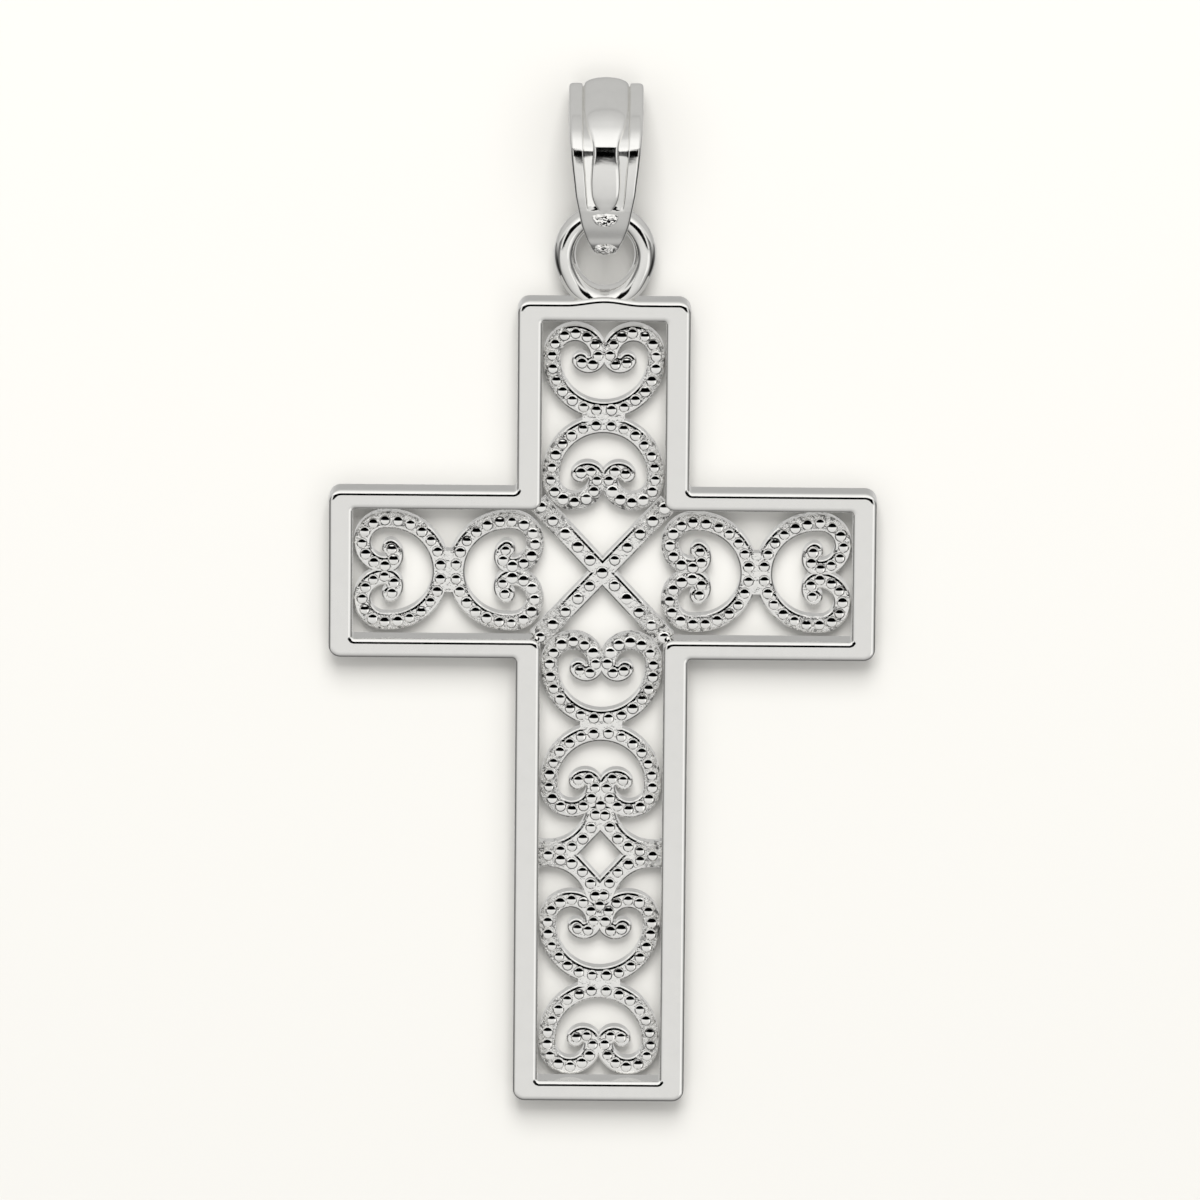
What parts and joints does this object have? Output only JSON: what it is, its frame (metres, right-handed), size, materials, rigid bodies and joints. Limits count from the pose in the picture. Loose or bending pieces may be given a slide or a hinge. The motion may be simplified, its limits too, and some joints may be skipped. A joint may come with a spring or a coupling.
{
  "type": "filigree cross charm",
  "caption": "Latin cross charm with pierced beaded scrollwork in a flat frame, a soldered ring and a swinging ribbed bail.",
  "frame": {"origin": "on the flat back face, where the middle lines of the two beams of the cross meet", "axes": "+Z out of the charm's front face, +Y from the foot of the cross toward the bail, +X to the viewer's right when the front is seen upright"},
  "size_m": [0.0186, 0.0358, 0.003],
  "materials": {
    "polished_silver": "polished silver with a rhodium tone"
  },
  "bodies": {
    "cross": {"cross": "polished_silver"},
    "bail": {"bail": "polished_silver"}
  },
  "joints": [
    {"name": "bail_swing", "type": "hinge", "parent": "cross", "child": "bail", "pos_m": [0, 0.01251, 0.0007], "axis": [1, 0, 0], "range_deg": [0, 85]}
  ]
}
